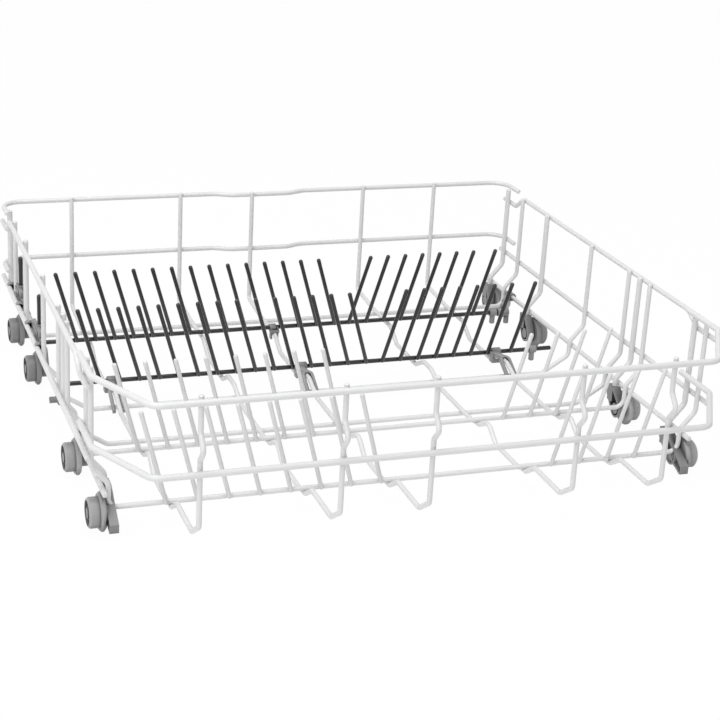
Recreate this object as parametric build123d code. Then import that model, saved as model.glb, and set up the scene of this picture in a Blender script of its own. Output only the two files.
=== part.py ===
"""Lower basket of a dishwasher: a welded wire basket with two folding tine rows and eight wheels.

Millimetres. X runs to the right, Y to the back and Z up. The origin is on the floor under the middle of
the basket, and the wheels stand on Z = 0.
"""
import os

from build123d import *

# Wire thicknesses
RAIL_D = 4.5
FRONT_RAIL_D = 5.0
RIB_D = 4.2
CROSS_D = 4.2
POST_D = 5.0
AXLE_D = 4.2
FOLD_TINE_D = 3.8
FIXED_TINE_D = 3.6
WELD_SINK = 0.15
BEND_R = 8.0
TIGHT_BEND_R = 5.0
END_CHAMFER = 0.8

# Side walls: the upper part stands outside the lower part
WALL_X = 258.0
WALL_TOP_Z = 136.0
SHOULDER_Z = 55.0
SHOULDER_DROP = 15.0
LOWER_X = 245.0
UPPER_RAIL_Z = 133.0
MIDDLE_RAIL_Z = 66.0
LOWER_RAIL_Z = 34.5
SIDE_RAIL_BACK_Y = 259.0
SIDE_RAIL_FRONT_Y = -179.0
BACK_DIP = 12.0
BACK_DIP_Y = 229.0
FRONT_DIP = 10.0
FRONT_DIP_Y = -148.0
DIP_RUN = 17.0

# Ends of the basket
BACK_RIB_Y = 259.5
FRONT_RIB_Y = -254.4
BACK_UPPER_Z = 137.3
BACK_RIB_OVER = 3.7
BACK_RIB_TOP_Z = BACK_UPPER_Z + BACK_RIB_OVER
BACK_MIDDLE_Z = 81.0
BACK_RETURN_Y = 226.0
BACK_CORNER_R = 19.0
FRONT_CORNER_R = 12.0
BACK_JOG = 7.0
BACK_JOG_LEFT_X = -44.0
BACK_JOG_RIGHT_X = 31.0
JOG_RUN = 16.0
FRONT_UPPER_Z = 138.5
FRONT_RIB_OVER = 4.5
FRONT_RIB_TOP_Z = FRONT_UPPER_Z + FRONT_RIB_OVER
FRONT_LOWER_Z = 83.0
FRONT_LEFT_X = -231.0
FRONT_RIGHT_X = 216.0
FRONT_CORNER_Y = -195.0
FRONT_RETURN_Y = -146.0

# Ribs that run from the back rail under the tines to the front rail
RIB_X = (-195.8, -88.0, -16.8, 102.9, 180.8)
RIB_BACK_Z = 25.0
RIB_LOW_Z = 13.0
RIB_LIP_Z = 22.3
RIB_SAG = 0.5
RIB_FOOT_RISE = 4.0
BACK_FLAT_FROM = 45.0
BACK_FLAT_TO = 4.0
BACK_STEP_TO = 24.0
LIP_START = 2.0
LIP_FROM = 21.0
LIP_TO = 40.0
LIP_END = 65.0
UNDER_LEAD = 4.0
UNDER_TAIL = 2.0
HUMP_FALL = 16.0
DIP_LEAD = 14.0
HUMP_LEAD = 19.0
HUMP_Z = 23.5
HUMP_END_Y = -93.5
STEP_Z = 26.0
FRONT_CUT_Y = 19.5
FRONT_CUT_Z = 13.0
NOSE_DEPTH = 9.6
NOSE_Z = 103.0
NOSE_HALF = 11.0

# Cross wires and wheel posts, by their place along Y
CROSS_BACK_Y = 205.0
CROSS_LOW_Y = (46.5, -30.0)
TINE_WIRE_Y = (-69.2, -169.0)
TINE_WIRE_Z = 19.5
CORNER_SLOPE_X = 27.0
POST_Y = (241.0, 145.0, -51.0, -151.0)
POST_END_Z = 21.0

# Wheels
WHEEL_AHEAD = (2.0, 8.0, 12.0, 16.0)
FLANGE_R = 15.5
FLANGE_T = 4.5
ROLLER_R = 12.2
ROLLER_L = 8.5
FLANGE_GAP = 0.6
HUB_R = 5.6
STUB_R = 3.4
RUN_CLEAR = 0.06
RIM_T = 2.2
WEB_T = 2.5
SPOKES = 6
SPOKE_T = 1.8
SNAP_R = 4.2
SNAP_T = 1.2
SNAP_GAP = 0.3

# Wheel carriers, and the arm ahead of the front pair
CARRIER_R = 8.5
CARRIER_TOP_Z = 33.0
CARRIER_WALL = 2.0
CARRIER_LIP = 0.2
SOCKET_W = 12.0
SOCKET_H = 9.0
POCKET_DEPTH = 4.5
BOSS_R = 5.0
ARM_TOP_Z = 25.0
ARM_DEPTH = 13.0
ARM_REACH = 33.0
ARM_TIP_Z = 2.0
ARM_TIP_H = 7.0
ARM_TIP_L = 5.0
HOOK_WALL = 2.0
HOOK_L = 13.0
SLOT_CLEAR = 0.3

# Folding rows: (place of the axle, tine height, left group, right group, axle ends, stop peg)
BACK_AXLE_Y = 162.0
BACK_AXLE_Z = 30.5
FRONT_AXLE_Y = 86.0
FRONT_AXLE_Z = 18.5
FOLD_TINE_H = 66.4
FOLD_LEAN = 19.5
TINE_TAIL = 0.5
FOLD_PITCH = 18.1
LEFT_COUNT = 15
RIGHT_COUNT = 7
BACK_LEFT_X = -209.0
BACK_RIGHT_X = 58.1
BACK_LAST_X = 190.2
FRONT_LEFT_ROW_X = -201.7
FRONT_RIGHT_ROW_X = 66.7
FRONT_LAST_X = 199.5
AXLE_LEFT_X = -241.0
BACK_AXLE_RIGHT_X = 226.0
FRONT_AXLE_RIGHT_X = 245.0
PEG_R = 2.7
PEG_DROP = 11.5
BACK_PEG_X = 214.5
FRONT_PEG_X = 225.0
SLEEVE_L = 7.0
SLEEVE_R = 3.6

# Fixed rows
FIXED_TINE_H = 76.4
FIXED_LEAN = 20.1
FIXED_LEFT_X = -200.4
FIXED_LEFT_PITCH = 25.05
FIXED_LEFT_COUNT = 8
FIXED_RIGHT_X = 124.4
FIXED_RIGHT_PITCH = 25.6
FIXED_RIGHT_COUNT = 4

# Clips
CLIP_L = 9.0
BACK_CLIP_X = -18.4
FRONT_CLIP_X = (-193.6, -11.7, 187.0)
SADDLE_WALL = 2.0
SADDLE_FROM = 7.0
SADDLE_TO = 58.0
SADDLE_ARCH = 24.0
SADDLE_SHOULDER = 5.0
SADDLE_TOP_FROM = 19.0
SADDLE_TOP_TO = 41.0
SADDLE_TIP_H = 3.0
SADDLE_TIP_L = 2.0
SADDLE_SKIRT = 1.0
SADDLE_LOW_FROM = 14.0
SADDLE_LOW_MID = 22.0
SADDLE_LOW_TO = 42.0
CUT_PAST = 5.0
CUT_DEEP = 20.0
CLIP_R = 4.3
CLIP_LEG_T = 1.8
CLIP_LEG_W = 6.5
CLIP_FOOT = 3.0
END_CLIP_X = 219.5
END_CLIP_L = 12.0
END_FLAG_T = 3.5
END_FLAG_H = 22.0
LATCH_W = 14.0
LATCH_H = 24.0
LATCH_WALL = 2.0
LATCH_ROD_X = 255.0
LATCH_ROD_UP = 46.0
LATCH_ROD_DOWN = 6.0
BUMPER_Y = 26.0
BUMPER_L = 10.0
BUMPER_R = 2.8
BUMPER_CLIP_L = 9.0

# Places that follow from the sizes above
side_rail_x = WALL_X + CROSS_D / 2 + RAIL_D / 2 - WELD_SINK
post_x = side_rail_x - RAIL_D / 2 - POST_D / 2 + WELD_SINK
lower_rail_x = LOWER_X + CROSS_D / 2 + RAIL_D / 2 - WELD_SINK
post_low_x = lower_rail_x - RAIL_D / 2 - POST_D / 2 + WELD_SINK
back_rail_y = BACK_RIB_Y + RIB_D / 2 + RAIL_D / 2 - WELD_SINK
front_rail_y = FRONT_RIB_Y - RIB_D / 2 - FRONT_RAIL_D / 2 + WELD_SINK
front_out_x = WALL_X + CROSS_D / 2 + FRONT_RAIL_D / 2 - WELD_SINK
front_in_x = post_x - POST_D / 2 - FRONT_RAIL_D / 2 + WELD_SINK
rib_under_z = TINE_WIRE_Z - CROSS_D / 2 - RIB_D / 2 + WELD_SINK
cross_back_z = RIB_BACK_Z - RIB_D / 2 - CROSS_D / 2 + WELD_SINK
cross_low_z = RIB_LOW_Z - RIB_D / 2 - CROSS_D / 2 + WELD_SINK
carrier_in_x = post_low_x - POST_D / 2 - CARRIER_WALL
carrier_out_x = post_low_x + POST_D / 2 + CARRIER_LIP
flange_x = carrier_out_x + FLANGE_GAP
wheel_z = FLANGE_R
wheel_out_x = flange_x + FLANGE_T + ROLLER_L


def wire(points, diameter, radius=BEND_R):
    """A round wire bent along points, with its cut ends broken."""
    if len(points) > 2:
        path = FilletPolyline(*points, radius=radius)
    else:
        path = Polyline(*points)
    section = Plane(origin=path @ 0, z_dir=path % 0) * Circle(diameter / 2)
    rod = sweep(section, path=path)
    ends = [e for e in rod.edges().filter_by(GeomType.CIRCLE)
            if (e.arc_center - path @ 0).length < 0.01 or (e.arc_center - path @ 1).length < 0.01]
    return chamfer(ends, END_CHAMFER)


def mirrored(shape):
    """The same piece on the other side of the basket."""
    return mirror(shape, about=Plane.YZ)


def rail_across(y, z, jog):
    """A back rail: straight, set forward in its middle, and turned round both corners."""
    inner = [(BACK_JOG_LEFT_X - JOG_RUN / 2, y, z), (BACK_JOG_LEFT_X + JOG_RUN / 2, y - jog, z),
             (BACK_JOG_RIGHT_X - JOG_RUN / 2, y - jog, z), (BACK_JOG_RIGHT_X + JOG_RUN / 2, y, z)]
    ends = [(side_rail_x, y, z), (side_rail_x, BACK_RETURN_Y, z)]
    starts = [(-side_rail_x, BACK_RETURN_Y, z), (-side_rail_x, y, z)]
    return wire(starts + inner + ends, RAIL_D, BACK_CORNER_R)


def front_rail(z):
    """A front rail: cut corners, the left end outside its wall and the right end inside it."""
    return wire([(-front_out_x, FRONT_RETURN_Y, z), (-front_out_x, FRONT_CORNER_Y, z),
                 (FRONT_LEFT_X, front_rail_y, z), (FRONT_RIGHT_X, front_rail_y, z),
                 (front_in_x, FRONT_CORNER_Y, z), (front_in_x, FRONT_RETURN_Y, z)], FRONT_RAIL_D, FRONT_CORNER_R)


def upper_side_rail():
    """The right upper rail, dipped at both ends to pass under the end rails."""
    x = side_rail_x
    low_back = UPPER_RAIL_Z - BACK_DIP
    low_front = UPPER_RAIL_Z - FRONT_DIP
    return wire([(x, SIDE_RAIL_BACK_Y, low_back), (x, BACK_DIP_Y, low_back),
                 (x, BACK_DIP_Y - DIP_RUN, UPPER_RAIL_Z), (x, FRONT_DIP_Y + DIP_RUN, UPPER_RAIL_Z),
                 (x, FRONT_DIP_Y, low_front), (x, SIDE_RAIL_FRONT_Y, low_front)], RAIL_D)


def rib(x, back_y=BACK_RIB_Y):
    """One long rib: down the back, under both axles and both tine wires, and up the front."""
    back_run = [(back_y, BACK_RIB_TOP_Z), (back_y, RIB_BACK_Z + RIB_FOOT_RISE),
                (BACK_AXLE_Y + BACK_FLAT_FROM, RIB_BACK_Z), (BACK_AXLE_Y - BACK_FLAT_TO, RIB_BACK_Z - RIB_SAG),
                (BACK_AXLE_Y - BACK_STEP_TO, RIB_LOW_Z)]
    middle = [(FRONT_AXLE_Y - LIP_START, RIB_LOW_Z - RIB_SAG), (FRONT_AXLE_Y - LIP_FROM, RIB_LIP_Z),
              (FRONT_AXLE_Y - LIP_TO, RIB_LIP_Z), (FRONT_AXLE_Y - LIP_END, RIB_LOW_Z)]
    over = [(TINE_WIRE_Y[0] + DIP_LEAD, RIB_LOW_Z), (TINE_WIRE_Y[0] + UNDER_LEAD, rib_under_z),
            (TINE_WIRE_Y[0] - UNDER_TAIL, rib_under_z), (TINE_WIRE_Y[0] - HUMP_LEAD, HUMP_Z), (HUMP_END_Y, HUMP_Z),
            (HUMP_END_Y - HUMP_FALL, RIB_LOW_Z), (TINE_WIRE_Y[1] + DIP_LEAD, RIB_LOW_Z),
            (TINE_WIRE_Y[1] + UNDER_LEAD, rib_under_z), (TINE_WIRE_Y[1] - UNDER_TAIL, rib_under_z),
            (TINE_WIRE_Y[1] - HUMP_LEAD, STEP_Z)]
    nose = [(FRONT_RIB_Y, NOSE_Z - NOSE_HALF), (FRONT_RIB_Y - NOSE_DEPTH, NOSE_Z),
            (FRONT_RIB_Y, NOSE_Z + NOSE_HALF), (FRONT_RIB_Y, FRONT_RIB_TOP_Z)]
    front = [(FRONT_RIB_Y + FRONT_CUT_Y, STEP_Z), (FRONT_RIB_Y, STEP_Z + FRONT_CUT_Z)]
    profile = back_run + middle + over + front + nose
    return wire([(x, y, z) for y, z in profile], RIB_D, TIGHT_BEND_R)


def wall_half(y, floor_z, sloped):
    """The right half of a cross wire, from its upper end to the middle of the floor."""
    down = [(WALL_X, y, WALL_TOP_Z), (WALL_X, y, SHOULDER_Z), (LOWER_X, y, SHOULDER_Z - SHOULDER_DROP)]
    if sloped:
        return down + [(LOWER_X, y, floor_z + CORNER_SLOPE_X * 0.62), (LOWER_X - CORNER_SLOPE_X, y, floor_z)]
    return down + [(LOWER_X, y, floor_z)]


def cross_wire(y, floor_z, sloped=False, thickness=CROSS_D):
    """A cross wire: both walls and the floor between them."""
    right = wall_half(y, floor_z, sloped)
    left = [(-x, y, z) for x, y, z in right]
    return wire(left + right[::-1], thickness, BEND_R)


def post(y):
    """The right wheel post: a thicker wire whose free end stands in a wheel carrier."""
    return wire([(post_x, y, WALL_TOP_Z), (post_x, y, SHOULDER_Z),
                 (post_low_x, y, SHOULDER_Z - SHOULDER_DROP), (post_low_x, y, POST_END_Z)], POST_D)


def bar(start, end, diameter):
    """A straight wire with broken ends."""
    return wire([start, end], diameter)


def tines(bases, leans, y, z, height, diameter):
    """Separate leaning tines, one solid each."""
    rods = [bar((x, y, z), (x + lean, y, z + height), diameter) for x, lean in zip(bases, leans)]
    return Compound(children=rods)


def folding_tines(axle_y, axle_z, left_x, right_x, last_x):
    """The tines of a folding row, welded to the front of their axle and leaning away from its middle."""
    bases = [left_x + i * FOLD_PITCH for i in range(LEFT_COUNT)]
    bases += [right_x + i * FOLD_PITCH for i in range(RIGHT_COUNT)] + [last_x]
    leans = [-FOLD_LEAN] * LEFT_COUNT + [FOLD_LEAN] * (RIGHT_COUNT + 1)
    y = axle_y - AXLE_D / 2 - FOLD_TINE_D / 2 + WELD_SINK
    return tines(bases, leans, y, axle_z - TINE_TAIL, FOLD_TINE_H, FOLD_TINE_D)


def fixed_tines(wire_y):
    """A fixed row on a cross wire, with the middle left free for a cutlery box."""
    bases = [FIXED_LEFT_X + i * FIXED_LEFT_PITCH for i in range(FIXED_LEFT_COUNT)]
    bases += [FIXED_RIGHT_X + i * FIXED_RIGHT_PITCH for i in range(FIXED_RIGHT_COUNT)]
    leans = [-FIXED_LEAN] * FIXED_LEFT_COUNT + [FIXED_LEAN] * FIXED_RIGHT_COUNT
    y = wire_y - CROSS_D / 2 - FIXED_TINE_D / 2 + WELD_SINK
    return tines(bases, leans, y, TINE_WIRE_Z - TINE_TAIL, FIXED_TINE_H, FIXED_TINE_D)


def along_x(x, y, z, radius, length):
    """A cylinder along X that starts at x."""
    return Plane(origin=(x, y, z), z_dir=(1, 0, 0)) * Cylinder(
        radius, length, align=(Align.CENTER, Align.CENTER, Align.MIN))


def along_y(x, y, z, radius, length):
    """A cylinder along Y about its middle."""
    return Plane(origin=(x, y, z), z_dir=(0, 1, 0)) * Cylinder(radius, length)


def stop_peg(x, axle_y, axle_z):
    """The sleeve pressed on an axle, with the peg that hangs from it."""
    sleeve = along_x(x - SLEEVE_L / 2, axle_y, axle_z, SLEEVE_R, SLEEVE_L)
    peg = Pos(x, axle_y, axle_z - PEG_DROP) * Cylinder(
        PEG_R, PEG_DROP, align=(Align.CENTER, Align.CENTER, Align.MIN))
    tip = (sleeve + peg).edges().group_by(Axis.Z)[0]
    body = chamfer(tip, END_CHAMFER)
    return body - along_x(x - SLEEVE_L, axle_y, axle_z, AXLE_D / 2, 2 * SLEEVE_L)


def wheel(y):
    """A right wheel: flange inside, roller outside, with a spoked recess round its hub."""
    x0 = flange_x
    x1 = flange_x + FLANGE_T
    x2 = wheel_out_x
    edge = 1.5
    half = [(x0, STUB_R + RUN_CLEAR), (x0, FLANGE_R - edge), (x0 + edge, FLANGE_R), (x1 - edge, FLANGE_R),
            (x1, FLANGE_R - edge), (x1, ROLLER_R), (x2 - edge, ROLLER_R), (x2, ROLLER_R - edge),
            (x2, ROLLER_R - RIM_T), (x0 + WEB_T, ROLLER_R - RIM_T), (x0 + WEB_T, HUB_R),
            (x2 - SNAP_T - SNAP_GAP, HUB_R), (x2 - SNAP_T - SNAP_GAP, STUB_R + RUN_CLEAR)]
    face = make_face(Polyline(*[(x, 0, r) for x, r in half], close=True))
    body = revolve(face, Axis((0, 0, 0), (1, 0, 0)))
    for i in range(SPOKES):
        length = ROLLER_R - RIM_T - HUB_R + 1
        spoke = Pos(x0 + WEB_T, 0, HUB_R - 0.5) * Box(
            x2 - x0 - WEB_T - 2.5, SPOKE_T, length, align=(Align.MIN, Align.CENTER, Align.MIN))
        body += Rot(360 / SPOKES * i, 0, 0) * spoke
    return Pos(0, y, wheel_z) * body


def pocketed(outline, hollow):
    """A plate beside the post, hollowed from its inner face."""
    plane = Plane(origin=(carrier_in_x, 0, 0), x_dir=(0, 1, 0), z_dir=(1, 0, 0))
    plate = extrude(plane * outline, amount=carrier_out_x - carrier_in_x)
    return plate - extrude(plane * hollow, amount=POCKET_DEPTH)


def drop_outline(y, post_y, inset):
    """The side view of a carrier: a hub round the wheel's axle, drawn up to the socket on the post."""
    hub = Pos(y, wheel_z) * Circle(CARRIER_R - inset)
    socket = Pos(post_y, CARRIER_TOP_Z - SOCKET_H / 2) * Rectangle(SOCKET_W - 2 * inset, SOCKET_H - 2 * inset)
    return make_hull(hub.edges() + socket.edges())


def front_arm(y):
    """The arm ahead of a front carrier that meets the runner before the wheel does."""
    outline = make_face(Polyline(
        (y, ARM_TOP_Z), (y - ARM_REACH, ARM_TIP_Z + ARM_TIP_H), (y - ARM_REACH, ARM_TIP_Z),
        (y - ARM_REACH + ARM_TIP_L, ARM_TIP_Z), (y, ARM_TOP_Z - ARM_DEPTH), close=True))
    return pocketed(outline, offset(outline, -CARRIER_WALL))


def carrier(index):
    """A right wheel carrier: a pocketed plate snapped on the end of its post, with the wheel's stub axle."""
    post_y = POST_Y[index]
    y = post_y - WHEEL_AHEAD[index]
    body = pocketed(drop_outline(y, post_y, 0), drop_outline(y, post_y, CARRIER_WALL))
    depth = carrier_out_x - carrier_in_x
    body += Pos(carrier_in_x, post_y, CARRIER_TOP_Z) * Box(
        depth, POST_D + 2 * CARRIER_WALL, CARRIER_TOP_Z - POST_END_Z + CARRIER_WALL,
        align=(Align.MIN, Align.CENTER, Align.MAX))
    body += along_x(carrier_in_x, y, wheel_z, BOSS_R, depth)
    if index == len(POST_Y) - 1:
        body += front_arm(y)
    body += along_x(carrier_out_x, y, wheel_z, STUB_R, wheel_out_x - SNAP_T - carrier_out_x)
    body += along_x(wheel_out_x - SNAP_T, y, wheel_z, SNAP_R, SNAP_T)
    seat = Pos(post_low_x, post_y, POST_END_Z)
    body -= seat * Cylinder(POST_D / 2, CARRIER_TOP_Z, align=(Align.CENTER, Align.CENTER, Align.MIN))
    return body - seat * Box(depth, POST_D, CARRIER_TOP_Z, align=(Align.MIN, Align.CENTER, Align.MIN))


def right_carriers():
    """The four right carriers, with room for the cross wires that pass two of them."""
    made = [carrier(i) for i in range(len(POST_Y))]
    for i, wire_y in ((2, TINE_WIRE_Y[0]), (3, TINE_WIRE_Y[1])):
        made[i] -= cross_wire(wire_y, TINE_WIRE_Z, thickness=CROSS_D + 2 * SLOT_CLEAR)
    return made


def axle_clip(x, rib_x, axle_y, axle_z, rib_z):
    """A clip on a rib: a barrel round the axle, and two legs astride the rib."""
    body = along_x(x - CLIP_L / 2, axle_y, axle_z, CLIP_R, CLIP_L)
    drop = axle_z - rib_z + RIB_D / 2 + CLIP_FOOT
    for side in (-1, 1):
        leg_x = rib_x + side * (RIB_D / 2 + CLIP_LEG_T / 2)
        body += Pos(leg_x, axle_y, axle_z) * Box(CLIP_LEG_T, CLIP_LEG_W, drop,
                                                align=(Align.CENTER, Align.CENTER, Align.MAX))
    body -= along_y(rib_x, axle_y, rib_z, RIB_D / 2, 40)
    body -= Pos(rib_x, axle_y, rib_z) * Box(RIB_D, 40, 40, align=(Align.CENTER, Align.CENTER, Align.MAX))
    return body - along_x(x - CLIP_L, axle_y, axle_z, AXLE_D / 2 + RUN_CLEAR, 2 * CLIP_L)


def saddle_clip(x, rib_x):
    """A front axle clip: a barrel round the axle, bridged to a channel astride the lip of its rib."""
    y = FRONT_AXLE_Y
    half = RIB_D / 2 + SADDLE_WALL
    top = RIB_LIP_Z + half
    low = RIB_LIP_Z - half - SADDLE_SKIRT
    plane = Plane(origin=(rib_x - half, 0, 0), x_dir=(0, 1, 0), z_dir=(1, 0, 0))
    side = make_face(Polyline((y - SADDLE_FROM, RIB_LOW_Z), (y - SADDLE_FROM, top - SADDLE_SHOULDER), (y - SADDLE_TOP_FROM, top),
                              (y - SADDLE_TOP_TO, top), (y - SADDLE_TO, RIB_LOW_Z + half + SADDLE_TIP_H),
                              (y - SADDLE_TO - SADDLE_TIP_L, RIB_LOW_Z - SADDLE_SKIRT), (y - SADDLE_LOW_TO, low),
                              (y - SADDLE_LOW_MID, low), (y - SADDLE_LOW_FROM, RIB_LOW_Z - half),
                              (y - SADDLE_FROM, RIB_LOW_Z - half), close=True))
    channel = extrude(plane * side, amount=2 * half)
    slot = make_face(Polyline((y + CUT_PAST, RIB_LOW_Z - RIB_SAG), (y - LIP_START, RIB_LOW_Z - RIB_SAG),
                              (y - LIP_FROM, RIB_LIP_Z), (y - LIP_TO, RIB_LIP_Z), (y - LIP_END, RIB_LOW_Z),
                              (y - LIP_END, -CUT_DEEP), (y + CUT_PAST, -CUT_DEEP), close=True))
    slot_plane = Plane(origin=(rib_x - RIB_D / 2, 0, 0), x_dir=(0, 1, 0), z_dir=(1, 0, 0))
    channel -= extrude(slot_plane * slot, amount=RIB_D)
    channel -= Pos(rib_x, y - SADDLE_ARCH, RIB_LOW_Z) * Box(
        RIB_D, SADDLE_TO, 2 * RIB_LIP_Z, align=(Align.CENTER, Align.MAX, Align.MIN))
    channel -= rib(rib_x)
    x0 = max(x - CLIP_L / 2, rib_x - half)
    x1 = min(x + CLIP_L / 2, rib_x + half)
    bridge = Pos(x0, y - SADDLE_FROM - 1, FRONT_AXLE_Z - CLIP_R) * Box(
        x1 - x0, SADDLE_FROM + 1, 2 * CLIP_R - 2, align=(Align.MIN, Align.MIN, Align.MIN))
    body = along_x(x - CLIP_L / 2, y, FRONT_AXLE_Z, CLIP_R, CLIP_L) + bridge
    body -= rib(rib_x)
    body += channel
    return body - along_x(x - CLIP_L, y, FRONT_AXLE_Z, AXLE_D / 2 + RUN_CLEAR, 2 * CLIP_L)


def end_clip():
    """The bracket that carries the right end of the back axle from the lower side rail."""
    y = BACK_AXLE_Y
    body = along_x(END_CLIP_X, y, BACK_AXLE_Z, CLIP_R, END_CLIP_L)
    flag = Pos(END_CLIP_X + END_CLIP_L - CLIP_LEG_T, y, BACK_AXLE_Z - CLIP_R) * Box(
        lower_rail_x - END_CLIP_X - END_CLIP_L + CLIP_LEG_T, END_FLAG_T, END_FLAG_H,
        align=(Align.MIN, Align.CENTER, Align.MIN))
    body += fillet(flag.edges().filter_by(Axis.Y).group_by(Axis.Z)[-1], END_FLAG_T)
    body += along_y(lower_rail_x, y, LOWER_RAIL_Z, RAIL_D / 2 + HOOK_WALL, HOOK_L)
    body -= along_y(lower_rail_x, y, LOWER_RAIL_Z, RAIL_D / 2, 2 * HOOK_L)
    mouth = Pos(lower_rail_x, y, LOWER_RAIL_Z) * Box(
        RAIL_D - 1, 2 * HOOK_L, 20, align=(Align.CENTER, Align.CENTER, Align.MAX))
    body -= mouth
    return body - along_x(END_CLIP_X - 5, y, BACK_AXLE_Z, AXLE_D / 2 + RUN_CLEAR,
                          BACK_AXLE_RIGHT_X - END_CLIP_X + 6)


def latch_clip(y):
    """A latch clip on the left middle rail, with a socket for the latch rod."""
    width = side_rail_x - LATCH_ROD_X + RAIL_D / 2 + CLIP_R
    body = Pos(-side_rail_x - RAIL_D / 2 - LATCH_WALL / 2, y, MIDDLE_RAIL_Z) * Box(
        width + LATCH_WALL / 2, LATCH_W, LATCH_H, align=(Align.MIN, Align.CENTER, Align.CENTER))
    body = fillet(body.edges().filter_by(Axis.Z), LATCH_WALL)
    body -= along_y(-side_rail_x, y, MIDDLE_RAIL_Z, RAIL_D / 2, 2 * LATCH_W)
    return body - Pos(-LATCH_ROD_X, y, MIDDLE_RAIL_Z - LATCH_ROD_DOWN) * Cylinder(
        AXLE_D / 2, LATCH_H, align=(Align.CENTER, Align.CENTER, Align.MIN))


def latch_rod(y):
    """The upright latch rod in its clip."""
    z = MIDDLE_RAIL_Z
    return bar((-LATCH_ROD_X, y, z - LATCH_ROD_DOWN), (-LATCH_ROD_X, y, z + LATCH_ROD_UP), AXLE_D)


def bumper():
    """The small side bumper clipped on the left lower rail."""
    body = along_y(-lower_rail_x, BUMPER_Y, LOWER_RAIL_Z, RAIL_D / 2 + HOOK_WALL, BUMPER_CLIP_L)
    body += along_x(-lower_rail_x - RAIL_D / 2 - BUMPER_L, BUMPER_Y, LOWER_RAIL_Z, BUMPER_R, BUMPER_L)
    return body - along_y(-lower_rail_x, BUMPER_Y, LOWER_RAIL_Z, RAIL_D / 2, 2 * BUMPER_CLIP_L)


def side_rail(x, z):
    """A straight side rail."""
    return bar((x, SIDE_RAIL_BACK_Y, z), (x, SIDE_RAIL_FRONT_Y, z), RAIL_D)


nodes = {
    "back_upper_rail": rail_across(back_rail_y, BACK_UPPER_Z, BACK_JOG),
    "back_middle_rail": rail_across(back_rail_y, BACK_MIDDLE_Z, BACK_JOG),
    "front_upper_rail": front_rail(FRONT_UPPER_Z),
    "front_lower_rail": front_rail(FRONT_LOWER_Z),
    "right_upper_rail": upper_side_rail(),
    "right_middle_rail": side_rail(side_rail_x, MIDDLE_RAIL_Z),
    "right_lower_rail": side_rail(lower_rail_x, LOWER_RAIL_Z),
    "cross_wire_1": cross_wire(CROSS_BACK_Y, cross_back_z),
    "cross_wire_2": cross_wire(CROSS_LOW_Y[0], cross_low_z, sloped=True),
    "cross_wire_3": cross_wire(CROSS_LOW_Y[1], cross_low_z, sloped=True),
    "cross_wire_4": cross_wire(TINE_WIRE_Y[0], TINE_WIRE_Z),
    "cross_wire_5": cross_wire(TINE_WIRE_Y[1], TINE_WIRE_Z),
    "back_fixed_tines": fixed_tines(TINE_WIRE_Y[0]),
    "front_fixed_tines": fixed_tines(TINE_WIRE_Y[1]),
    "back_fold_axle": bar((AXLE_LEFT_X, BACK_AXLE_Y, BACK_AXLE_Z),
                          (BACK_AXLE_RIGHT_X, BACK_AXLE_Y, BACK_AXLE_Z), AXLE_D),
    "back_fold_tines": folding_tines(BACK_AXLE_Y, BACK_AXLE_Z, BACK_LEFT_X, BACK_RIGHT_X, BACK_LAST_X),
    "back_stop_peg": stop_peg(BACK_PEG_X, BACK_AXLE_Y, BACK_AXLE_Z),
    "front_fold_axle": bar((AXLE_LEFT_X, FRONT_AXLE_Y, FRONT_AXLE_Z),
                           (FRONT_AXLE_RIGHT_X, FRONT_AXLE_Y, FRONT_AXLE_Z), AXLE_D),
    "front_fold_tines": folding_tines(FRONT_AXLE_Y, FRONT_AXLE_Z, FRONT_LEFT_ROW_X, FRONT_RIGHT_ROW_X,
                                      FRONT_LAST_X),
    "front_stop_peg": stop_peg(FRONT_PEG_X, FRONT_AXLE_Y, FRONT_AXLE_Z),
    "back_axle_clip": axle_clip(BACK_CLIP_X, RIB_X[2], BACK_AXLE_Y, BACK_AXLE_Z, RIB_BACK_Z - 0.5),
    "back_axle_end_clip": end_clip(),
    "latch_clips": Compound(children=[latch_clip(BACK_AXLE_Y), latch_clip(FRONT_AXLE_Y)]),
    "latch_rods": Compound(children=[latch_rod(BACK_AXLE_Y), latch_rod(FRONT_AXLE_Y)]),
    "side_bumper": bumper(),
}
for name in ("upper_rail", "middle_rail", "lower_rail"):
    nodes["left_" + name] = mirrored(nodes["right_" + name])
for i, x in enumerate(RIB_X):
    set_forward = BACK_JOG_LEFT_X < x < BACK_JOG_RIGHT_X
    nodes[f"long_rib_{i + 1}"] = rib(x, BACK_RIB_Y - BACK_JOG if set_forward else BACK_RIB_Y)
for i, x in enumerate((RIB_X[0], RIB_X[2], RIB_X[4])):
    nodes[f"front_axle_clip_{i + 1}"] = saddle_clip(FRONT_CLIP_X[i], x)
for i, holder in enumerate(right_carriers()):
    nodes[f"right_wheel_post_{i + 1}"] = post(POST_Y[i])
    nodes[f"right_carrier_{i + 1}"] = holder
    nodes[f"right_wheel_{i + 1}"] = wheel(POST_Y[i] - WHEEL_AHEAD[i])
    for piece in ("wheel_post", "carrier", "wheel"):
        nodes[f"left_{piece}_{i + 1}"] = mirrored(nodes[f"right_{piece}_{i + 1}"])

os.makedirs("parts", exist_ok=True)
for name, shape in nodes.items():
    export_step(shape, f"parts/{name}.step")
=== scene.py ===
import math
import bmesh
import bpy
from mathutils import Matrix, Vector


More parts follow.
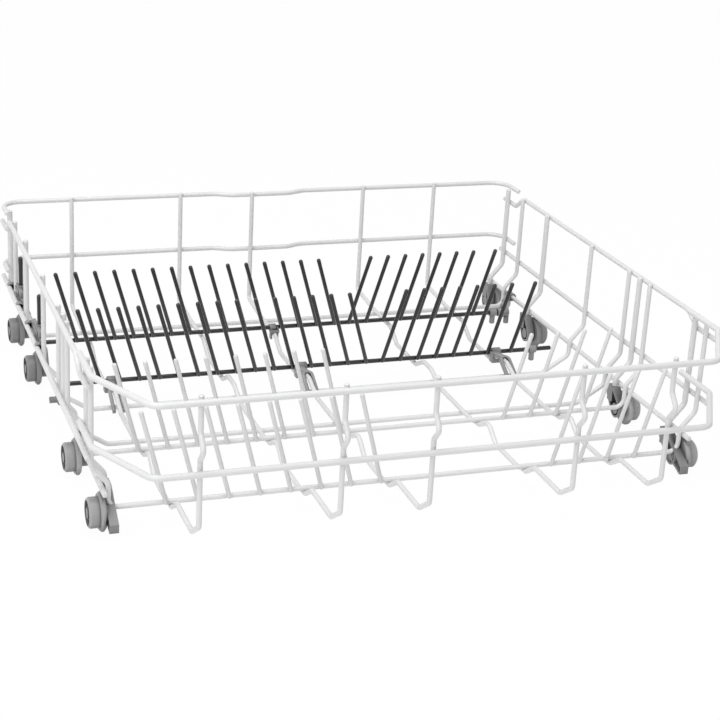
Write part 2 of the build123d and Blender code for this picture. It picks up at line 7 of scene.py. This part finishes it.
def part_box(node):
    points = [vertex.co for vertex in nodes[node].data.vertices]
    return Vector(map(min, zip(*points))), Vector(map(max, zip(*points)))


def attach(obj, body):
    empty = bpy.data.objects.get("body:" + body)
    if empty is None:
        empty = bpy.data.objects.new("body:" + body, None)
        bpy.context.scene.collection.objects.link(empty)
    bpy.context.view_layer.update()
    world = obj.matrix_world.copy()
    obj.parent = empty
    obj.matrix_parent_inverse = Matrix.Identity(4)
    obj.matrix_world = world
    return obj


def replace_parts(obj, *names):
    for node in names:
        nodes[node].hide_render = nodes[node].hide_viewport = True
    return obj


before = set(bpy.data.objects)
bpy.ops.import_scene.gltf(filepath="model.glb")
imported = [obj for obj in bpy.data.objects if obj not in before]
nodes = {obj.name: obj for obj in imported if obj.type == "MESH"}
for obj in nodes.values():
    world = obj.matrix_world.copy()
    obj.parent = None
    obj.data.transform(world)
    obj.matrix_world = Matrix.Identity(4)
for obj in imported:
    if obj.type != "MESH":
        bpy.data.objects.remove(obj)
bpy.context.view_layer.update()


# The basket itself is steel wire, bent, resistance-welded at every crossing and dipped in pale grey nylon.
# The coat is satin and a little uneven, so its tone and its gloss drift in patches.
class Socket:
    """A shader socket that adds Math nodes when it is used in an expression."""

    def __init__(self, tree, socket):
        self.tree = tree
        self.socket = socket

    def make(self, kind, settings=None, **values):
        node = self.tree.nodes.new(kind)
        for key, value in (settings or {}).items():
            if key == "stops":
                ramp = node.color_ramp
                while len(ramp.elements) < len(value):
                    ramp.elements.new(0.5)
                for element, (position, colour) in zip(ramp.elements, value):
                    element.position = position
                    element.color = colour
            else:
                setattr(node, key, value)
        for key, value in values.items():
            numbered = key[1:].isdigit()
            target = node.inputs[int(key[1:]) if numbered else key.replace("_", " ")]
            if isinstance(value, Socket):
                self.tree.links.new(value.socket, target)
            else:
                target.default_value = value
        return node

    def math(self, operation, a, b):
        node = self.make("ShaderNodeMath", {"operation": operation}, i0=a, i1=b)
        return Socket(self.tree, node.outputs[0])

    def __add__(self, other):
        return self.math("ADD", self, other)

    def __mul__(self, other):
        return self.math("MULTIPLY", self, other)

    __radd__ = __add__
    __rmul__ = __mul__


HOLLOW_DEPTH = 0.012


def coated_finish(name, base, patch, roughness, coat, grain_scale, grain_depth, patch_scale, painted_hollow_shade=0.0):
    """A finish with drifting tone, fine grain, uneven gloss and painted shade darkening its hollows."""
    material = bpy.data.materials.new(name)
    material.use_nodes = True
    tree = material.node_tree
    shader = tree.nodes["Principled BSDF"]
    place = Socket(tree, tree.nodes.new("ShaderNodeTexCoord").outputs["Object"])
    drift = Socket(tree, place.make("ShaderNodeTexNoise", Vector=place, Scale=patch_scale, Detail=3.0,
                                    Roughness=0.6).outputs["Fac"])
    grain = Socket(tree, place.make("ShaderNodeTexNoise", Vector=place, Scale=grain_scale, Detail=2.0,
                                    Roughness=0.5).outputs["Fac"])
    tone = place.make("ShaderNodeMix", {"data_type": "RGBA"}, i0=drift, i6=base, i7=patch)
    # Painted shade: where the ambient occlusion node finds hollows and gaps, the base colour is darkened,
    # standing in for the shade that falls there.
    if painted_hollow_shade:
        hollow = place.make("ShaderNodeAmbientOcclusion", {"samples": 8}, Distance=HOLLOW_DEPTH)
        open_part = Socket(tree, hollow.outputs["AO"])
        shaded_hollow_tone = tuple(channel * (1 - painted_hollow_shade) for channel in base[:3]) + (1,)
        tone = place.make("ShaderNodeMix", {"data_type": "RGBA"}, i0=open_part * open_part,
                          i6=shaded_hollow_tone, i7=Socket(tree, tone.outputs[2]))
    tree.links.new(tone.outputs[2], shader.inputs["Base Color"])
    gloss = drift * 0.12 + grain * 0.08 + (roughness - 0.1)
    tree.links.new(gloss.socket, shader.inputs["Roughness"])
    bump = place.make("ShaderNodeBump", Height=grain, Distance=grain_depth, Strength=0.5)
    tree.links.new(bump.outputs["Normal"], shader.inputs["Normal"])
    shader.inputs["Coat Weight"].default_value = coat
    shader.inputs["Coat Roughness"].default_value = 0.25
    return material


def dress(names, material):
    """Gives CAD pieces their finish."""
    for name in names:
        mesh = nodes[name].data
        mesh.materials.clear()
        mesh.materials.append(material)


pale_coat = coated_finish("pale_nylon_coat", (0.635, 0.636, 0.638, 1), (0.705, 0.705, 0.706, 1),
                          roughness=0.38, coat=0.15, grain_scale=900, grain_depth=0.0001, patch_scale=22)
dress([n for n in nodes
       if n.endswith("_rail") or n.startswith(("long_rib", "cross_wire")) or "wheel_post" in n], pale_coat)


# The fixed tines are cut from thinner wire and welded to the front of two cross wires.
# Dipping leaves a round drop of nylon on every free end, a little thicker than the wire below it.
def wire_axes(node):
    """The lower and upper end of each separate straight wire of a CAD piece, on its axis."""
    cad = bmesh.new()
    cad.from_mesh(nodes[node].data)
    bmesh.ops.remove_doubles(cad, verts=cad.verts, dist=1e-6)
    seen = set()
    axes = []
    for first in cad.verts:
        if first in seen:
            continue
        seen.add(first)
        island = []
        front = [first]
        while front:
            vert = front.pop()
            island.append(vert.co.copy())
            for edge in vert.link_edges:
                other = edge.other_vert(vert)
                if other not in seen:
                    seen.add(other)
                    front.append(other)
        middle = sum(island, Vector()) / len(island)
        upper = [point - middle for point in island if point.z > middle.z]
        direction = (sum(upper, Vector()) / len(upper)).normalized()
        reach = [(point - middle).dot(direction) for point in island]
        axes.append((middle + direction * min(reach), middle + direction * max(reach)))
    cad.free()
    return axes


def dipped_tine(length, radius):
    """A tine standing at the origin, with the round drop that dipping leaves on its free end."""
    foot_round = 0.4 * radius
    drop_r = 1.07 * radius
    neck = 4 * radius
    outline = [(0, 0), (radius - foot_round, 0), (radius, foot_round), (radius, length - drop_r - neck)]
    outline += [(drop_r * math.cos(turn), length - drop_r + drop_r * math.sin(turn))
                for turn in (math.pi / 2 * step / 5 for step in range(5))]
    outline += [(0, length)]
    tine = bmesh.new()
    rim = [tine.verts.new((r, 0, z)) for r, z in outline]
    edges = [tine.edges.new(pair) for pair in zip(rim, rim[1:])]
    bmesh.ops.spin(tine, geom=rim + edges, cent=(0, 0, 0), axis=(0, 0, 1), angle=2 * math.pi, steps=16,
                   use_merge=True)
    bmesh.ops.remove_doubles(tine, verts=tine.verts, dist=1e-6)
    bmesh.ops.recalc_face_normals(tine, faces=tine.faces)
    mesh = bpy.data.meshes.new("tine")
    tine.to_mesh(mesh)
    tine.free()
    return mesh


def add_piece(name, shape, material, body, smooth_angle):
    """Makes an object of a finished bmesh, and lets it ride on its body."""
    mesh = bpy.data.meshes.new(name)
    shape.to_mesh(mesh)
    shape.free()
    mesh.polygons.foreach_set("use_smooth", [True] * len(mesh.polygons))
    mesh.set_sharp_from_angle(angle=math.radians(smooth_angle))
    mesh.materials.append(material)
    piece = bpy.data.objects.new(name, mesh)
    bpy.context.scene.collection.objects.link(piece)
    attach(piece, body)
    return piece


def tine_row(name, node, body, drop, material):
    """All the tines of a row, each with its drop, in place of the plain CAD tines."""
    low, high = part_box(node)
    radius = (high[1] - low[1]) / 2
    row = bmesh.new()
    for start, end in wire_axes(node):
        along = end - start
        tine = dipped_tine(along.length + drop, radius)
        tine.transform(Matrix.Translation(start) @ along.to_track_quat("Z", "X").to_matrix().to_4x4())
        row.from_mesh(tine)
        bpy.data.meshes.remove(tine)
    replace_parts(add_piece(name, row, material, body, 50), node)


FIXED_DROP = 0.0035
for row_name in ("back_fixed_tines", "front_fixed_tines"):
    tine_row("dipped_" + row_name, row_name, "basket", FIXED_DROP, pale_coat)


# Each folding row is a straight axle with tines welded to its front, dipped in charcoal nylon as one piece.
# The coat is thinner and glossier than the pale one, and the two latch rods at the left wall have it too.
dark_coat = coated_finish("charcoal_nylon_coat", (0.008, 0.0081, 0.0085, 1), (0.013, 0.0131, 0.0136, 1),
                          roughness=0.26, coat=0.6, grain_scale=900, grain_depth=0.0001, patch_scale=30)
dark_shader = dark_coat.node_tree.nodes["Principled BSDF"]
dark_shader.inputs["Specular IOR Level"].default_value = 0.3
dark_shader.inputs["Coat Roughness"].default_value = 0.12
dress([n for n in nodes if n.endswith("_fold_axle") or n == "latch_rods"], dark_coat)
BACK_FOLD_DROP = 0.003
FRONT_FOLD_DROP = 0.006
for end, drop in (("back", BACK_FOLD_DROP), ("front", FRONT_FOLD_DROP)):
    tine_row(f"dipped_{end}_fold_tines", f"{end}_fold_tines", f"{end}_tine_row", drop, dark_coat)


# The front axle clips are grey polypropylene: a barrel snapped round the axle, a neck that grips the rib
# where it rises, and a staple whose two legs lie on either side of the rib where it comes down again.
# The stop pegs on the axles are of the same plastic.
clip_skin = coated_finish("clip_grey_moulding", (0.225, 0.226, 0.23, 1), (0.27, 0.271, 0.275, 1),
                          roughness=0.4, coat=0.1, grain_scale=1500, grain_depth=0.00015, patch_scale=45,
                          painted_hollow_shade=0.75)
dress([n for n in nodes
       if "axle_clip" in n or "stop_peg" in n or n in ("back_axle_end_clip", "latch_clips")], clip_skin)
EDGE_ROUND = 0.0006


def place_shape(target, shape, place):
    """Adds a finished bmesh to a moulding, at its place."""
    mesh = bpy.data.meshes.new("shape")
    shape.to_mesh(mesh)
    shape.free()
    mesh.transform(place)
    target.from_mesh(mesh)
    bpy.data.meshes.remove(mesh)


def rounded_block(target, size, place):
    """A block with rounded edges."""
    block = bmesh.new()
    bmesh.ops.create_cube(block, size=1, matrix=Matrix.Diagonal((*size, 1)))
    bmesh.ops.bevel(block, geom=block.edges, offset=EDGE_ROUND, affect="EDGES", segments=2, profile=0.5,
                    material=-1)
    place_shape(target, block, place)


def rounded_barrel(target, radius, length, place):
    """A barrel with rounded rims, along its own Z."""
    barrel = bmesh.new()
    bmesh.ops.create_cone(barrel, cap_ends=True, segments=28, radius1=radius, radius2=radius, depth=length)
    rims = [edge for edge in barrel.edges if any(len(face.verts) > 4 for face in edge.link_faces)]
    bmesh.ops.bevel(barrel, geom=rims, offset=EDGE_ROUND, affect="EDGES", segments=2, profile=0.5,
                    material=-1)
    place_shape(target, barrel, place)


def staple(target, half, wall, leg, depth, place):
    """A flat staple: a half ring with two legs along -Y, and as deep as given along Z."""
    turns = [math.pi * step / 10 for step in range(11)]
    outer = [((half + wall) * math.cos(turn), (half + wall) * math.sin(turn)) for turn in turns]
    inner = [(half * math.cos(turn), half * math.sin(turn)) for turn in reversed(turns)]
    outline = [(half + wall, -leg)] + outer + [(-half - wall, -leg), (-half, -leg)] + inner + [(half, -leg)]
    shape = bmesh.new()
    flat = shape.faces.new([shape.verts.new((x, y, -depth / 2)) for x, y in outline])
    grown = bmesh.ops.extrude_face_region(shape, geom=[flat])["geom"]
    bmesh.ops.translate(shape, vec=(0, 0, depth),
                        verts=[part for part in grown if isinstance(part, bmesh.types.BMVert)])
    bmesh.ops.recalc_face_normals(shape, faces=shape.faces)
    rims = [edge for edge in shape.edges if any(len(face.verts) > 4 for face in edge.link_faces)]
    bmesh.ops.bevel(shape, geom=rims, offset=EDGE_ROUND, affect="EDGES", segments=2, profile=0.5,
                    material=-1)
    place_shape(target, shape, place)


def axis_of(node):
    """The middle of a straight CAD piece's box."""
    low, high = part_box(node)
    return Vector([(a + b) / 2 for a, b in zip(low, high)])


def at(x, y, z):
    """A place for a shape that isn't turned."""
    return Matrix.Translation((x, y, z))


ACROSS = Matrix.Rotation(math.pi / 2, 4, "Y")
ALONG = Matrix.Rotation(math.pi / 2, 4, "X")
BARREL_R = 0.0043
BARREL_L = 0.0095
BARREL_OFFSET = 0.005
NECK_SIZE = (0.0072, 0.03, 0.0034)
NECK_AHEAD = 0.018
NECK_RISE = 0.0035
NECK_SLOPE = math.radians(-11)
GRIP_SIZE = (0.0095, 0.0075, 0.009)
GRIP_AHEAD = 0.012
GRIP_DROP = 0.001
STAPLE_HALF = 0.0028
STAPLE_WALL = 0.0028
STAPLE_LEG = 0.024
STAPLE_DEPTH = 0.0042
STAPLE_AHEAD = 0.035
STAPLE_RISE = 0.0045
STAPLE_SLOPE = math.radians(29)
axle = axis_of("front_fold_axle")
for index, rib_name in ((1, "long_rib_1"), (2, "long_rib_3"), (3, "long_rib_5")):
    rib_x = axis_of(rib_name).x
    saddle = bmesh.new()
    rounded_barrel(saddle, BARREL_R, BARREL_L, at(rib_x + BARREL_OFFSET, axle.y, axle.z) @ ACROSS)
    rounded_block(saddle, NECK_SIZE, at(rib_x, axle.y - NECK_AHEAD, axle.z + NECK_RISE)
                  @ Matrix.Rotation(NECK_SLOPE, 4, "X"))
    rounded_block(saddle, GRIP_SIZE, at(rib_x, axle.y - GRIP_AHEAD, axle.z - GRIP_DROP))
    staple(saddle, STAPLE_HALF, STAPLE_WALL, STAPLE_LEG, STAPLE_DEPTH,
           at(rib_x, axle.y - STAPLE_AHEAD, axle.z + STAPLE_RISE) @ Matrix.Rotation(STAPLE_SLOPE, 4, "X"))
    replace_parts(add_piece(f"axle_saddle_{index}", saddle, clip_skin, "basket", 35),
                f"front_axle_clip_{index}")


# The middle of the back axle turns in a narrower clip of the same plastic, a barrel over a small yoke,
# with two short legs astride its rib.
KEEPER_R = 0.0036
KEEPER_L = 0.0065
KEEPER_OFFSET = 0.0016
YOKE_SIZE = (0.0095, 0.0042, 0.003)
YOKE_OFFSET = 0.0005
YOKE_AHEAD = 0.0035
YOKE_DROP = 0.003
KEEPER_LEG_SIZE = (0.0018, 0.0055, 0.0125)
KEEPER_LEG_OUT = 0.0031
KEEPER_LEG_AHEAD = 0.001
KEEPER_LEG_DROP = 0.0052
axle = axis_of("back_fold_axle")
rib_x = axis_of("long_rib_3").x
keeper = bmesh.new()
rounded_barrel(keeper, KEEPER_R, KEEPER_L, at(rib_x - KEEPER_OFFSET, axle.y, axle.z) @ ACROSS)
rounded_block(keeper, YOKE_SIZE, at(rib_x - YOKE_OFFSET, axle.y - YOKE_AHEAD, axle.z - YOKE_DROP))
for side in (-1, 1):
    rounded_block(keeper, KEEPER_LEG_SIZE,
                  at(rib_x + side * KEEPER_LEG_OUT, axle.y - KEEPER_LEG_AHEAD, axle.z - KEEPER_LEG_DROP))
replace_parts(add_piece("back_axle_keeper", keeper, clip_skin, "basket", 35), "back_axle_clip")


# The right end of the back axle turns in a bracket of the same plastic, whose slanting plate reaches back
# to the lower side rail and snaps round it. A short peg hangs beside the barrel.
BRACKET_L = 0.012
BRACKET_BACK = 0.034
BRACKET_FROM = 0.005
BRACKET_SHORT = 0.001
BRACKET_T = 0.0034
BRACKET_H = 0.0145
BRACKET_RISE = 0.001
STIFFENER_SHARE = 0.45
STIFFENER_T = 0.0055
STIFFENER_H = 0.004
STIFFENER_RISE = 0.007
BRACKET_PEG_R = 0.0027
BRACKET_PEG_L = 0.011
BRACKET_PEG_X = 0.0115
BRACKET_PEG_BACK = 0.002
BRACKET_PEG_DROP = 0.0075
RAIL_SNAP_R = 0.0042
RAIL_SNAP_L = 0.011
end_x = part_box("back_axle_end_clip")[0][0]
lower_rail = axis_of("right_lower_rail")
plate_start = Vector((end_x + BRACKET_FROM, axle.y, 0))
plate_end = Vector((lower_rail.x - BRACKET_SHORT, axle.y + BRACKET_BACK, 0))
plate_run = plate_end - plate_start
plate_turn = Matrix.Rotation(math.atan2(plate_run.y, plate_run.x), 4, "Z")
plate_mid = (plate_start + plate_end) / 2
bracket = bmesh.new()
rounded_barrel(bracket, BARREL_R, BRACKET_L, at(end_x + BRACKET_L / 2, axle.y, axle.z) @ ACROSS)
rounded_block(bracket, (plate_run.length, BRACKET_T, BRACKET_H),
              at(plate_mid.x, plate_mid.y, axle.z + BRACKET_RISE) @ plate_turn)
rounded_block(bracket, (plate_run.length * STIFFENER_SHARE, STIFFENER_T, STIFFENER_H),
              at(plate_mid.x, plate_mid.y, axle.z + STIFFENER_RISE) @ plate_turn)
rounded_barrel(bracket, BRACKET_PEG_R, BRACKET_PEG_L,
               at(end_x + BRACKET_PEG_X, axle.y + BRACKET_PEG_BACK, axle.z - BRACKET_PEG_DROP))
rounded_barrel(bracket, RAIL_SNAP_R, RAIL_SNAP_L, at(lower_rail.x, plate_end.y, lower_rail.z) @ ALONG)
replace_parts(add_piece("back_axle_bracket", bracket, clip_skin, "basket", 35),
            "back_axle_end_clip")


# The side bumper is a short peg on a snap sleeve of mid grey plastic, pushed along the left lower rail
# to its place.
BUMPER_AHEAD = 0.012
BUMPER_SHORT = 0.0025
PEG_CLEAR = 0.004
bumper_skin = coated_finish("bumper_grey_moulding", (0.21, 0.211, 0.215, 1), (0.25, 0.251, 0.255, 1),
                            roughness=0.45, coat=0.05, grain_scale=1500, grain_depth=0.00015, patch_scale=45,
                            painted_hollow_shade=0.5)
dress(["side_bumper"], bumper_skin)
peg_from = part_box("left_lower_rail")[0][0] - PEG_CLEAR
bumper = bmesh.new()
bumper.from_mesh(nodes["side_bumper"].data)
bmesh.ops.remove_doubles(bumper, verts=bumper.verts, dist=1e-6)
bmesh.ops.translate(bumper, vec=(0, -BUMPER_AHEAD, 0), verts=bumper.verts)
bmesh.ops.translate(bumper, vec=(BUMPER_SHORT, 0, 0),
                    verts=[vert for vert in bumper.verts if vert.co.x < peg_from])
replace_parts(add_piece("rail_bumper", bumper, bumper_skin, "basket", 35), "side_bumper")


# Each latch clip is one moulding on the left middle rail: a plate with a hook over the rail at either end,
# and a socket for the upright dark rod, which is cut from axle wire and dipped with the rows.
HOOK_R = 0.00325
HOOK_L = 0.007
HOOK_APART = 0.028
HOOK_IN = 0.0016
HOOK_UP = 0.0009
HOOK_ARM_H = 0.005
PLATE_IN = 0.002
PLATE_T = 0.003
PLATE_L = 0.036
PLATE_H = 0.018
PLATE_UP = 0.001
EAR_L = 0.012
EAR_H = 0.009
EAR_IN = 0.004
BEAD_OUT = 0.002
BEAD_L = 0.022
BEADS = ((0.006, 0.004), (-0.004, 0.003))
SOCKET_R = 0.0036
SOCKET_L = 0.02
ROD_R = 0.0021
ROD_SHORT = 0.0075
FRONT_LATCH_BACK = 0.001
REAR_LATCH_BACK = 0.033
rail = axis_of("left_middle_rail")
rods_middle = axis_of("latch_rods").y
latches = bmesh.new()
rods = bmesh.new()
for rod_foot, rod_top in wire_axes("latch_rods"):
    latch_y = rod_foot.y + (REAR_LATCH_BACK if rod_foot.y > rods_middle else FRONT_LATCH_BACK)
    plate_x = rod_foot.x - PLATE_IN
    for side in (-1, 1):
        hook_y = latch_y + side * HOOK_APART
        rounded_barrel(latches, HOOK_R, HOOK_L, at(rail.x + HOOK_IN, hook_y, rail.z + HOOK_UP) @ ALONG)
        rounded_block(latches, (plate_x - rail.x, HOOK_L, HOOK_ARM_H),
                      at((rail.x + plate_x) / 2, hook_y, rail.z + PLATE_UP))
        rounded_block(latches, (PLATE_T, EAR_L, EAR_H), at(plate_x, hook_y - side * EAR_IN, rail.z))
    rounded_block(latches, (PLATE_T, PLATE_L, PLATE_H), at(plate_x, latch_y, rail.z + PLATE_UP))
    for bead_up, bead_h in BEADS:
        rounded_block(latches, (PLATE_T + BEAD_OUT, BEAD_L, bead_h), at(plate_x, latch_y, rail.z + bead_up))
    rounded_barrel(latches, SOCKET_R, SOCKET_L, at(rod_foot.x, latch_y, rail.z + PLATE_UP))
    rod = dipped_tine(rod_top.z - rod_foot.z - ROD_SHORT, ROD_R)
    rod.transform(at(rod_foot.x, latch_y, rod_foot.z))
    rods.from_mesh(rod)
    bpy.data.meshes.remove(rod)
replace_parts(add_piece("latch_mouldings", latches, clip_skin, "basket", 35), "latch_clips")
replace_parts(add_piece("dipped_latch_rods", rods, dark_coat, "basket", 50), "latch_rods")


# The wheel carriers are mid grey mouldings pushed on the ends of the posts, with pockets on their inner side.
# The front pair has an arm ahead of the wheel, which is short and rises a little towards its tip.
carrier_skin = coated_finish("carrier_grey_moulding", (0.19, 0.19, 0.192, 1), (0.235, 0.235, 0.237, 1),
                             roughness=0.42, coat=0.1, grain_scale=1300, grain_depth=0.00015, patch_scale=40,
                             painted_hollow_shade=0.8)
dress([n for n in nodes if "_carrier_" in n], carrier_skin)
CARRIER_HUB_R = 0.0085
ARM_SHARE = 0.47
ARM_LIFT = 0.004
for side in ("left", "right"):
    hub_front = axis_of(f"{side}_wheel_4").y - CARRIER_HUB_R
    carrier = bmesh.new()
    carrier.from_mesh(nodes[f"{side}_carrier_4"].data)
    bmesh.ops.remove_doubles(carrier, verts=carrier.verts, dist=1e-6)
    arm = [vert for vert in carrier.verts if vert.co.y < hub_front]
    arm_reach = hub_front - min(vert.co.y for vert in arm)
    for vert in arm:
        share = (hub_front - vert.co.y) / arm_reach
        vert.co.y = hub_front - share * arm_reach * ARM_SHARE
        vert.co.z += share * ARM_LIFT
    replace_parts(add_piece(f"{side}_front_carrier", carrier, carrier_skin, "basket", 35),
                f"{side}_carrier_4")


# The wheels are grey acetal, a flange inside and a roller outside, snapped on the carriers' stub axles.
# The two pairs under the folding rows are given a darker grey than the two front pairs.
for skin_name, base, patch, pairs in (
        ("front_wheel_acetal", (0.305, 0.305, 0.307, 1), (0.36, 0.36, 0.362, 1), (3, 4)),
        ("back_wheel_acetal", (0.2, 0.2, 0.202, 1), (0.245, 0.245, 0.247, 1), (1, 2))):
    wheel_skin = coated_finish(skin_name, base, patch, roughness=0.42, coat=0.1, grain_scale=1200,
                               grain_depth=0.0001, patch_scale=60, painted_hollow_shade=0.7)
    dress([f"{side}_wheel_{pair}" for side in ("left", "right") for pair in pairs], wheel_skin)


# The studio: a white paper floor under the basket, a large soft lamp overhead and a weaker one from the
# left front. The floor shows white to the camera but still takes a soft shadow.
def direct_rays(tree):
    """One for rays from the camera, and for those that reach it by reflection or through a clear piece."""
    path = tree.nodes.new("ShaderNodeLightPath")
    camera_ray = Socket(tree, path.outputs["Is Camera Ray"])
    glossy_ray = Socket(tree, path.outputs["Is Glossy Ray"])
    clear_ray = Socket(tree, path.outputs["Is Transmission Ray"])
    return camera_ray.math("MINIMUM", camera_ray + glossy_ray + clear_ray, 1.0)


floor_mesh = bpy.data.meshes.new("floor")
floor_mesh.from_pydata([(-6, -6, 0), (6, -6, 0), (6, 6, 0), (-6, 6, 0)], [], [(0, 1, 2, 3)])
floor = bpy.data.objects.new("floor", floor_mesh)
floor.location.z = -0.0005
bpy.context.scene.collection.objects.link(floor)
paper = bpy.data.materials.new("white_sweep")
paper.use_nodes = True
paper_tree = paper.node_tree
paper_shader = paper_tree.nodes["Principled BSDF"]
paper_shader.inputs["Base Color"].default_value = (0.9, 0.9, 0.9, 1)
paper_shader.inputs["Roughness"].default_value = 0.9
SWEEP_GLOW = 0.97
seen = direct_rays(paper_tree)
glow = seen.make("ShaderNodeEmission", Color=(1, 1, 1, 1), Strength=1.0)
sweep_mix = seen.make("ShaderNodeMixShader", i0=seen * SWEEP_GLOW)
paper_tree.links.new(paper_shader.outputs[0], sweep_mix.inputs[1])
paper_tree.links.new(glow.outputs[0], sweep_mix.inputs[2])
paper_tree.links.new(sweep_mix.outputs[0], paper_tree.nodes["Material Output"].inputs["Surface"])
floor_mesh.materials.append(paper)

world = bpy.data.worlds.new("studio")
bpy.context.scene.world = world
world.use_nodes = True
world_tree = world.node_tree
world_back = world_tree.nodes["Background"]
world_back.inputs["Color"].default_value = (1, 1, 1, 1)
level = direct_rays(world_tree) * 0.5 + 0.5
world_tree.links.new(level.socket, world_back.inputs["Strength"])

for name, place, aim, size, power in (
        ("overhead", (-0.4, -0.3, 1.9), (0, 0, 0.05), 1.6, 26.0),
        ("left_front", (-1.6, -1.5, 1.1), (0, 0, 0.05), 1.0, 14.0)):
    lamp = bpy.data.lights.new(name, "AREA")
    lamp.size = size
    lamp.energy = power
    lamp_object = bpy.data.objects.new(name, lamp)
    lamp_object.location = place
    direction = Vector(aim) - lamp_object.location
    lamp_object.rotation_euler = direction.to_track_quat("-Z", "Y").to_euler()
    bpy.context.scene.collection.objects.link(lamp_object)

camera_data = bpy.data.cameras.new("camera")
camera_data.lens = 85.28
camera_data.sensor_width = 36.0
camera_data.clip_end = 50.0
camera = bpy.data.objects.new("camera", camera_data)
camera.matrix_world = Matrix((
    (0.943935, 0.070557, -0.322502, -0.474955),
    (-0.325813, 0.356579, -0.875613, -1.329040),
    (0.053217, 0.931597, 0.359576, 0.601482),
    (0, 0, 0, 1)))
bpy.context.scene.collection.objects.link(camera)
bpy.context.scene.camera = camera
bpy.context.scene.view_settings.view_transform = "Standard"
